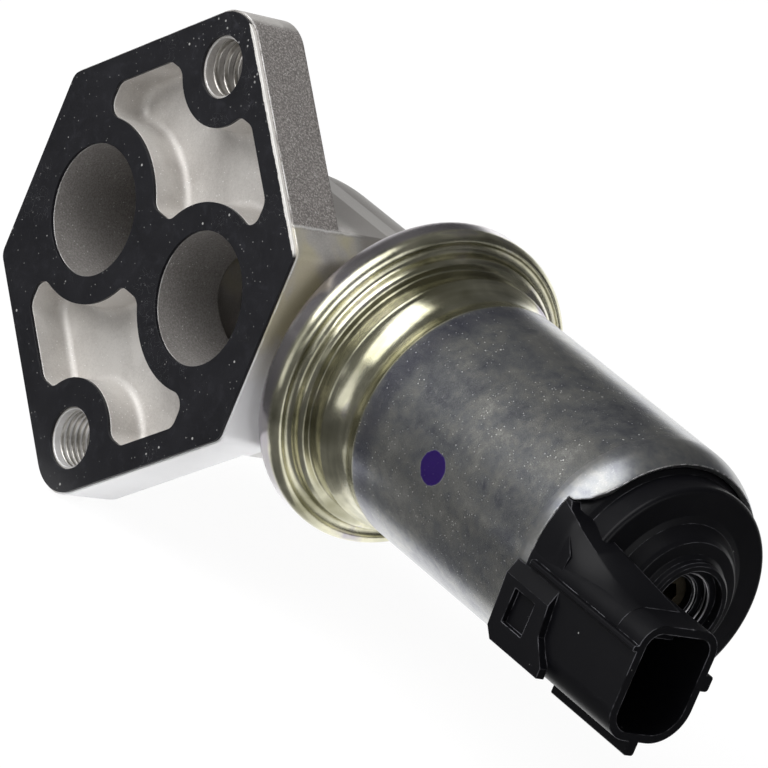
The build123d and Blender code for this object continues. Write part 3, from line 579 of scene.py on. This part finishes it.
def soft_moulding(name, pale, dark, roughness, grain_depth):
    """Plain rubber or nylon: cloudy tone, fine grain and slightly worn edges."""
    f = Finish(name)
    cloud = f.noise(0.4, 3.0, 0.6)
    grain = f.noise(4.0, 3.0, 0.6)
    bloom = f.specks(1.6, 0.16, 0.14)
    colour = f.mix(cloud, dark, pale)
    colour = f.mix(bloom * 0.3, colour, tuple(min(1.0, part * 2 + 0.05) for part in pale))
    rough = roughness + 0.15 * cloud
    return f.done(Base_Color=colour, Metallic=0.0, Roughness=rough, Normal=f.bump(grain, grain_depth))


def dress(node, material):
    """One finish on one CAD node."""
    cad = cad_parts[node]
    cad.data.materials.clear()
    cad.data.materials.append(material)


def helix_ridge(name, centre, radius, height, start, end, pitch, width, steps, along_x=False):
    """A rounded ridge that winds along +Y or +X inside a hole, fading in and out at its ends."""
    sunk = 0.02 * MM
    turns = (end - start) / pitch
    count = max(8, int(turns * steps))
    # Along the hole in widths, and up from the wall in heights.
    section = [(-0.5, 0.0), (-0.28, 0.5), (-0.1, 0.92), (0.1, 0.92), (0.28, 0.5), (0.5, 0.0)]
    points, faces = [], []
    for i in range(count + 1):
        share = i / count
        angle = 2 * pi * turns * share
        fade = min(1.0, 0.06 + 4.5 * share, 0.06 + 4.5 * (1 - share))
        middle = start + (end - start) * share
        for along, up in section:
            reach = radius + sunk - (height + sunk) * up * fade
            first = centre[0] + reach * cos(angle)
            second = centre[1] + reach * sin(angle)
            depth = middle + along * width
            points.append((depth, second, first) if along_x else (first, depth, second))
    size = len(section)
    for i in range(count):
        for j in range(size):
            a, b = i * size + j, i * size + (j + 1) % size
            faces.append((a, b, b + size, a + size))
    faces.append(tuple(reversed(range(size))))
    faces.append(tuple(range(count * size, (count + 1) * size)))
    return make_piece(name, points, faces)


def make_piece(name, points, faces):
    """A smooth-shaded mesh object from its corners and faces."""
    mesh = bpy.data.meshes.new(name)
    mesh.from_pydata(points, [], faces)
    mesh.validate()
    mesh.update()
    for polygon in mesh.polygons:
        polygon.use_smooth = True
    piece = bpy.data.objects.new(name, mesh)
    bpy.context.scene.collection.objects.link(piece)
    return piece


def round_wire_coil(name, start, end, radius, wire, turns):
    """A round-wire spring along the valve's axis, as long and as wide as its CAD node."""
    rise = end - start - 2 * wire
    count, around = turns * 40, 10
    slope = rise / (2 * pi * turns * radius)
    length = hypot(1, slope)
    points, faces = [], []
    for i in range(count + 1):
        share = i / count
        angle = 2 * pi * turns * share
        out = Vector((0, cos(angle), sin(angle)))
        across = Vector((slope, -sin(angle), cos(angle))).cross(out) / length
        middle = Vector((start + wire + rise * share, AXIS_Y * MM, 0)) + radius * out
        for j in range(around):
            turn = 2 * pi * j / around
            points.append(middle + wire * (cos(turn) * out + sin(turn) * across))
    for i in range(count):
        for j in range(around):
            a, b = i * around + j, i * around + (j + 1) % around
            faces.append((a, a + around, b + around, b))
    faces.append(tuple(range(around)))
    faces.append(tuple(reversed(range(count * around, (count + 1) * around))))
    return make_piece(name, points, faces)


class AIRVALVE_OT_casting(bpy.types.Operator):
    """Give the cast body its grainy alloy and the sealing face its black coat"""

    bl_idname = "airvalve.casting"
    bl_label = "Casting and coating"

    def execute(self, context):
        settings = context.scene.valve_finish
        dress("valve_body", cast_alloy(settings))
        dress("flange_gasket", black_coating(settings))
        return {"FINISHED"}


class AIRVALVE_OT_can(bpy.types.Operator):
    """Give the can its plating, dust and ink dot"""

    bl_idname = "airvalve.can"
    bl_label = "Solenoid can"

    def execute(self, context):
        dress("solenoid_can", plated_steel(context.scene.valve_finish))
        return {"FINISHED"}


class AIRVALVE_OT_cap(bpy.types.Operator):
    """Give the cap and connector their black plastic, and the blades their tinned brass"""

    bl_idname = "airvalve.cap"
    bl_label = "Cap and connector"

    def execute(self, context):
        dress("end_cap", black_moulding(context.scene.valve_finish))
        blades = turned_metal("tinned_brass", rgb("c9c3b4"), rgb("9a927e"), 0.28)
        dress("upper_terminal", blades)
        dress("lower_terminal", blades)
        return {"FINISHED"}


class AIRVALVE_OT_inner(bpy.types.Operator):
    """Give every inner piece the finish of its own metal, rubber or nylon"""

    bl_idname = "airvalve.inner"
    bl_label = "Inner pieces"

    def execute(self, context):
        iron = turned_metal("soft_iron", rgb("8f8c88"), rgb("5f5c59"), 0.34)
        steel = turned_metal("ground_steel", rgb("b9b9b8"), rgb("8e8e8e"), 0.2, 0.008)
        alloy = turned_metal("turned_alloy", rgb("c9c8c4"), rgb("a09f9b"), 0.26)
        bronze = turned_metal("bush_bronze", rgb("b48a55"), rgb("7d5c35"), 0.42, 0.03)
        tube = turned_metal("tube_brass", rgb("c7a75c"), rgb("97793c"), 0.27)
        wire = turned_metal("spring_steel", rgb("a3a19d"), rgb("6d6b68"), 0.3, 0.01)
        screw = turned_metal("darkened_brass", rgb("4a4438"), rgb("2b2722"), 0.4)
        rubber = soft_moulding("seal_rubber", rgb("26272a"), rgb("141416"), 0.5, 0.03)
        nylon = soft_moulding("bobbin_nylon", rgb("3c3a38"), rgb("2a2927"), 0.42, 0.02)
        copper = wound_copper()
        for material, nodes in (
            (iron, ("pole_piece", "armature", "flux_plate", "rear_flux_ring")),
            (steel, ("valve_shaft", "retaining_ring")),
            (alloy, ("valve_poppet", "valve_seat", "bore_plug")),
            (bronze, ("front_bush", "rear_bush")),
            (tube, ("guide_tube",)),
            (wire, ("return_spring", "balance_spring")),
            (screw, ("adjusting_screw",)),
            (rubber, ("valve_seal", "body_seal", "cap_seal")),
            (nylon, ("coil_bobbin",)),
            (copper, ("coil_winding",)),
        ):
            for node in nodes:
                dress(node, material)
        return {"FINISHED"}


class AIRVALVE_OT_springs(bpy.types.Operator):
    """Wind the two springs between their seats"""

    bl_idname = "airvalve.springs"
    bl_label = "Springs"

    def execute(self, context):
        wire_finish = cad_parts["return_spring"].data.materials[0]
        for name, node, fixed, moving, radius, wire, turns in (
            ("return_coils", "return_spring", -26.0, -4.25, 4.9, 0.45, 6),
            ("balance_coils", "balance_spring", 93.35, 87.25, 1.6, 0.25, 5),
        ):
            low, high = min(fixed, moving), max(fixed, moving)
            piece = round_wire_coil(name, low * MM, high * MM, radius * MM, wire * MM, turns)
            piece.data.materials.append(wire_finish)
            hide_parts(node)
            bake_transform(piece)
        return {"FINISHED"}


class AIRVALVE_OT_hole_ridges(bpy.types.Operator):
    """Wind the coarse ridges inside the two bolt holes"""

    bl_idname = "airvalve.hole_ridges"
    bl_label = "Bolt hole ridges"

    def execute(self, context):
        detail = context.scene.valve_detail
        finish = turned_metal("ridge_alloy", rgb("cfccc7"), rgb("98958f"), 0.24, 0.02, 3.0)
        inset = 0.9 * MM
        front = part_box("valve_body")[0].y + inset
        back = 9.0 * MM - inset
        for name, side, pitch, width, height in (
            ("upper_hole_ridges", 1, detail.upper_pitch, 1.3 * MM, detail.ridge_height),
            ("lower_hole_ridges", -1, detail.lower_pitch, 0.8 * MM, detail.ridge_height * 0.6),
        ):
            piece = helix_ridge(
                name,
                (0.0, side * detail.bolt_spacing / 2),
                detail.bolt_radius,
                height,
                front,
                back,
                pitch,
                width,
                detail.turn_steps,
            )
            piece.data.materials.append(finish)
            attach(piece, HOUSING)
        return {"FINISHED"}


class AIRVALVE_OT_well_ridges(bpy.types.Operator):
    """Wind the bright ridges inside the adjuster well"""

    bl_idname = "airvalve.well_ridges"
    bl_label = "Adjuster well ridges"

    def execute(self, context):
        finish = turned_metal("well_steel", rgb("a9a8aa"), rgb("7c7b7e"), 0.22, 0.01, 3.0)
        steps = context.scene.valve_detail.turn_steps
        centre = (0.0, AXIS_Y * MM)
        height, pitch, width = 0.3 * MM, 0.85 * MM, 0.5 * MM
        for name, radius, start, end in (
            ("throat_ridges", 3.9 * MM, 99.6 * MM, 101.25 * MM),
            ("mouth_ridges", 4.9 * MM, 101.45 * MM, 102.75 * MM),
        ):
            piece = helix_ridge(name, centre, radius, height, start, end, pitch, width, steps, True)
            piece.data.materials.append(finish)
            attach(piece, HOUSING)
        return {"FINISHED"}


def gusset_outline(share):
    """The gusset's section in y and z, from its foot over the outside to the ridge and back down.

    It follows the round neck at a share of 0 and ends as the connector's rounded corner at 1.
    """
    steps = 14
    ridge = (10.6 + 5.7 * share, 8.5 - 5.25 * share)
    first, last = radians(182.0), pi - asin(ridge[1] / WEB_RADIUS)
    foot = (6.79 - 0.24 * share, -0.67 + 0.27 * share)
    past_neck = max(0.0, (share - 0.2) / 0.8)
    flat = 1.5 * past_neck * (1 - past_neck) ** 2
    points = []
    for i in range(steps + 1):
        angle = first + (last - first) * i / steps
        at_notch = (AXIS_Y + WEB_RADIUS * cos(angle), WEB_RADIUS * sin(angle))
        turn = radians(180 - 90 * i / steps)
        at_end = (10.2 + 3.65 * cos(turn), -0.4 + 3.65 * sin(turn))
        round_point = [a + (b - a) * past_neck for a, b in zip(at_notch, at_end)]
        flat_point = [a + (b - a) * i / (steps + 4) for a, b in zip(foot, ridge)]
        points.append(tuple(a + (b - a) * flat for a, b in zip(round_point, flat_point)))
    points.append(ridge)
    points.append((ridge[0] + 0.35, ridge[1] - 0.5))
    points.append((ridge[0] + 0.9, -1.0))
    points.append((9.0, -1.0))
    return points


def make_gusset(name, start, end, steps):
    """The long tapered web between the notch of the can and the top of the connector."""
    points, faces = [], []
    for i in range(steps + 1):
        share = i / steps
        x = start + (end - start) * share
        points += [(x * MM, y * MM, z * MM) for y, z in gusset_outline(share)]
    size = len(points) // (steps + 1)
    for i in range(steps):
        for j in range(size):
            a, b = i * size + j, i * size + (j + 1) % size
            faces.append((a, b, b + size, a + size))
    faces.append(tuple(reversed(range(size))))
    faces.append(tuple(range(steps * size, (steps + 1) * size)))
    piece = make_piece(name, points, faces)
    piece.data.set_sharp_from_angle(angle=radians(35))
    return piece


class AIRVALVE_OT_gusset(bpy.types.Operator):
    """Shape the web where the connector leaves the can"""

    bl_idname = "airvalve.gusset"
    bl_label = "Connector gusset"

    def execute(self, context):
        piece = make_gusset("connector_gusset", 91.75, 113.0, 24)
        piece.data.materials.append(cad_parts["end_cap"].data.materials[0])
        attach(piece, HOUSING)
        return {"FINISHED"}


class AIRVALVE_OT_studio(bpy.types.Operator):
    """Set the floor, the lamps, the white background and the camera"""

    bl_idname = "airvalve.studio"
    bl_label = "Studio"

    def execute(self, context):
        studio = context.scene.valve_studio
        self.make_floor(studio)
        self.make_sky(studio)
        self.make_tent()
        self.make_sheets()
        self.make_boards()
        self.make_lamps()
        self.make_camera(studio)
        return {"FINISHED"}

    @staticmethod
    def flat(x_low, x_high, y_low, y_high, z):
        """The corners of a level rectangle."""
        return [(x_low, y_low, z), (x_high, y_low, z), (x_high, y_high, z), (x_low, y_high, z)]

    def make_floor(self, studio):
        half = studio.floor_size / 2
        corners = self.flat(-half, half, -half, half, cad_box[0].z - 0.5 * MM)
        floor = make_piece("floor", corners, [(0, 1, 2, 3)])
        finish = Finish("floor_paper")
        grain = finish.noise(0.02, 3.0, 0.5)
        paper = finish.mix(grain * 0.3, tuple(studio.floor_colour), (0.9, 0.9, 0.9))
        diffuse = finish.take("BSDF", "ShaderNodeBsdfDiffuse", {}, {"Color": paper})
        sockets = {"Color": (1, 1, 1, 1), "Strength": 1.06}
        glow = finish.take("Emission", "ShaderNodeEmission", {}, sockets)
        floor.data.materials.append(
            finish.end(finish.blend(finish.shows_background() * 0.86, diffuse, glow))
        )

    def make_sky(self, studio):
        world = bpy.data.worlds.new("studio_sky")
        world.use_nodes = True
        bpy.context.scene.world = world
        sky = Wiring(world.node_tree)
        even, white = (
            sky.take(0, "ShaderNodeBackground", {}, {"Color": (1, 1, 1, 1), "Strength": strength})
            for strength in (studio.sky, 1.0)
        )
        shader = sky.blend(sky.shows_background(), even, white)
        sky.node("ShaderNodeOutputWorld", {}, {"Surface": shader})

    def make_tent(self):
        """A dim half tent round the valve's axis. Only reflections see it, so the light stays even."""
        reach = 1.3
        near, far = 2.6, -1.8
        start, end = radians(-91), radians(91)
        steps = 24
        points = []
        for i in range(steps + 1):
            angle = start + (end - start) * i / steps
            for x in (near, far):
                points.append((x, AXIS_Y * MM + reach * sin(angle), reach * cos(angle)))
        faces = [(2 * i, 2 * i + 1, 2 * i + 3, 2 * i + 2) for i in range(steps)]
        tent = make_piece("tent", points, faces)
        finish = Finish("tent_cloth")
        angle = finish.math("ARCTAN2", finish.y - AXIS_Y, finish.z) / (2 * pi) + 0.5
        grey = (
            (-91, 0.17), (-75, 0.25), (-50, 0.20), (-33, 0.18), (-13, 0.13), (7, 0.18), (27, 0.15),
            (47, 0.10), (60, 0.12), (67, 0.20), (72, 0.5), (76, 1.1), (79, 1.6),
        )
        stops = [(degrees / 360 + 0.5, (level, level, level)) for degrees, level in grey]
        beyond = finish.rise(finish.x, 250, 400) * finish.rise(finish.y, 700, 1000)
        self.hang(tent, finish, finish.mix(beyond, finish.ramp(angle, *stops), (0.06, 0.06, 0.06)))

    def make_sheets(self):
        """Dim paper on the floor before the valve and past its connector, seen in reflections alone."""
        points, faces = [], []
        for x_low, x_high, y_low, y_high in (
            (0.02, 0.45, -1.3, 0.016),
            (-1.8, 0.02, -1.3, -0.006),
        ):
            faces.append(tuple(range(len(points), len(points) + 4)))
            points += self.flat(x_low, x_high, y_low, y_high, cad_box[0].z - 0.3 * MM)
        paper = make_piece("dim_paper", points, faces)
        finish = Finish("dim_paper")
        place = (finish.y + 120) / 160
        grey = (
            (0.0, 0.18), (0.25, 0.16), (0.56, 0.11), (0.69, 0.18), (0.79, 0.17), (0.82, 0.26),
            (0.85, 0.4), (0.88, 0.2),
        )
        self.hang(paper, finish, finish.ramp(place, *[(at, (level,) * 3) for at, level in grey]))

    def make_boards(self):
        """Even papers and boards behind, beside and before the valve, seen in reflections alone."""
        low = cad_box[0].z - 0.3 * MM
        high = 0.45 - 0.3 * MM
        strip = cad_box[0].z - 0.2 * MM
        left, right, away = -0.25, 0.2, -1.2
        for name, level, corners in (
            ("white_paper", 1.35, self.flat(-1.8, 0.12, 0.022, 0.6, low)),
            ("dark_paper", 0.08, self.flat(0.13, 0.9, 0.03, 0.7, low)),
            ("front_strip", 1.2, [
                (0.005, -0.07, strip), (0.06, -0.07, strip), (right, away, strip), (left, away, strip),
            ]),
            ("front_board", 1.2, [
                (left, away, low), (right, away, low), (right, away, high), (left, away, high),
            ]),
        ):
            board = make_piece(name, corners, [(0, 1, 2, 3)])
            self.hang(board, Finish(name), (level, level, level, 1))

    @staticmethod
    def hang(card, finish, level):
        """Light a card of the studio, and hide it from all but reflections."""
        glow = finish.take("Emission", "ShaderNodeEmission", {}, {"Color": level, "Strength": 1.0})
        card.data.materials.append(finish.end(glow))
        card.visible_camera = False
        card.visible_diffuse = False
        card.visible_transmission = False
        card.visible_shadow = False

    def make_lamps(self):
        """Soft lamps round the valve, each facing it."""
        aim = Vector((45 * MM, 20 * MM, 0))
        for name, toward, away, width, height, watts, glossy in (
            ("key_lamp", (-0.15, -0.69, 0.71), 0.9, 0.72, 1.0, 9.5, True),
            ("side_lamp", (0.98, -0.02, 0.14), 1.0, 0.6, 0.5, 1.8, True),
            ("back_lamp", (-0.17, 0.97, 0.17), 1.0, 0.9, 0.6, 1.5, False),
        ):
            lamp = bpy.data.lights.new(name, "AREA")
            lamp.shape = "RECTANGLE"
            lamp.size = width
            lamp.size_y = height
            lamp.energy = watts
            holder = bpy.data.objects.new(name, lamp)
            direction = Vector(toward).normalized()
            holder.location = aim + direction * away
            holder.rotation_mode = "QUATERNION"
            holder.rotation_quaternion = direction.to_track_quat("Z", "Y")
            holder.visible_glossy = glossy
            bpy.context.scene.collection.objects.link(holder)

    def make_camera(self, studio):
        camera = bpy.data.cameras.new("photo_camera")
        camera.lens = studio.lens
        camera.sensor_width = 36.0
        camera.clip_start = 0.05
        camera.clip_end = 50.0
        holder = bpy.data.objects.new("photo_camera", camera)
        holder.location = studio.camera_place
        holder.rotation_euler = Euler(studio.camera_turn, "XYZ")
        bpy.context.scene.collection.objects.link(holder)
        bpy.context.scene.camera = holder


class AIRVALVE_PT_panel(bpy.types.Panel):
    """The steps that dress the valve, in order"""

    bl_idname = "AIRVALVE_PT_panel"
    bl_label = "Air valve"
    bl_space_type = "VIEW_3D"
    bl_region_type = "UI"
    bl_category = "Air valve"

    def draw(self, context):
        for step in STEPS:
            self.layout.operator(step.bl_idname)


STEPS = (
    AIRVALVE_OT_studio,
    AIRVALVE_OT_casting,
    AIRVALVE_OT_can,
    AIRVALVE_OT_cap,
    AIRVALVE_OT_inner,
    AIRVALVE_OT_springs,
    AIRVALVE_OT_hole_ridges,
    AIRVALVE_OT_well_ridges,
    AIRVALVE_OT_gusset,
)
SETTINGS = {"valve_finish": FinishSettings, "valve_detail": DetailSettings, "valve_studio": StudioSettings}


def register():
    for name, group in SETTINGS.items():
        bpy.utils.register_class(group)
        setattr(bpy.types.Scene, name, PointerProperty(type=group))
    for step in STEPS:
        bpy.utils.register_class(step)
    bpy.utils.register_class(AIRVALVE_PT_panel)


def unregister():
    bpy.utils.unregister_class(AIRVALVE_PT_panel)
    for step in reversed(STEPS):
        bpy.utils.unregister_class(step)
    for name, group in SETTINGS.items():
        delattr(bpy.types.Scene, name)
        bpy.utils.unregister_class(group)


def main():
    register()
    bpy.context.scene.view_settings.view_transform = "Standard"
    for step in STEPS:
        group, name = step.bl_idname.split(".")
        getattr(getattr(bpy.ops, group), name)()


if __name__ == "__main__":
    main()
